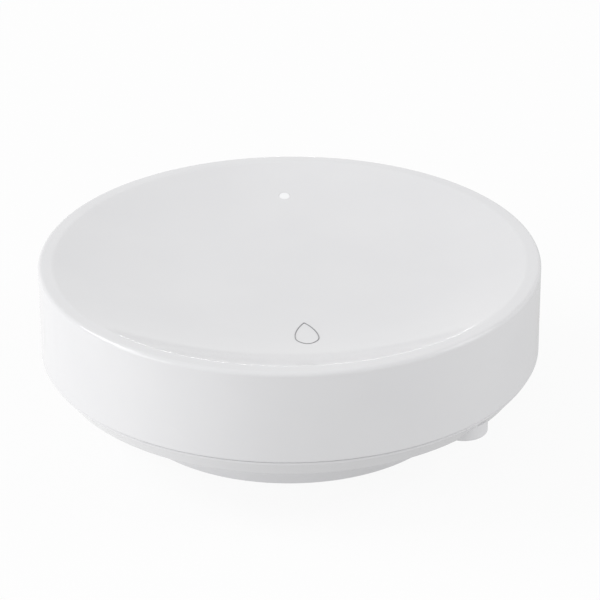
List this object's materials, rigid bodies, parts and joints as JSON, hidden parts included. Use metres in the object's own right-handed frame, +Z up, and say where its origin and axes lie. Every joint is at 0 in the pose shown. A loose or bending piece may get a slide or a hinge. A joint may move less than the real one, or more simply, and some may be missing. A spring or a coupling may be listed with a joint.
{
  "type": "water leak sensor",
  "caption": "Round white leak sensor with a dished top, light dot and drop mark, on a narrower foot with four probe studs; the lower case turns off for the battery.",
  "frame": {"origin": "under the middle of the round foot, on the floor that the studs stand on", "axes": "+Z up, along the middle of the round case; -Y towards the front, where the drop mark is; +X to the right"},
  "size_m": [0.07, 0.07, 0.0234],
  "materials": {
    "white_plastic": "satin moulded plastic",
    "clear_plastic": "polished clear plastic",
    "grey_print": "printed line",
    "board_green": "solder mask",
    "steel": "bright steel",
    "chip_black": "moulded epoxy",
    "lamp": "clear lens",
    "brass_sheet": "rolled sheet",
    "silvered_ceramic": "silvered ceramic",
    "spring_metal": "plated spring sheet",
    "black_plastic": "moulded plastic",
    "seal_rubber": "silicone",
    "foam": "foam"
  },
  "bodies": {
    "base": {"lower_case": "white_plastic", "case_seal": "seal_rubber", "probe_studs": "steel", "stud_seals": "seal_rubber", "probe_strips": "spring_metal", "battery_pad": "foam"},
    "case": {"top_shell": "white_plastic", "light_pipe": "clear_plastic", "drop_mark": "grey_print", "main_board": "board_green", "board_screws": "steel", "board_chips": "chip_black", "radio_board": "board_green", "radio_shield": "steel", "status_led": "lamp", "piezo_plate": "brass_sheet", "piezo_ceramic": "silvered_ceramic", "piezo_springs": "spring_metal", "coin_cell": "steel", "battery_holder": "black_plastic", "positive_contact": "spring_metal", "negative_contact": "spring_metal", "probe_springs": "spring_metal", "tact_switch": "black_plastic"},
    "pair_button": {"switch_plunger": "black_plastic", "switch_cap": "white_plastic"}
  },
  "joints": [
    {"name": "case_turn", "type": "hinge", "parent": "base", "child": "case", "pos_m": [0, 0, 0.0121], "axis": [0, 0, 1], "range_deg": [0, 25]},
    {"name": "button_press", "type": "slide", "parent": "case", "child": "pair_button", "axis": [0, 0, 1], "range_m": [0, 0.0003], "stiffness_N_per_m": 3000}
  ]
}
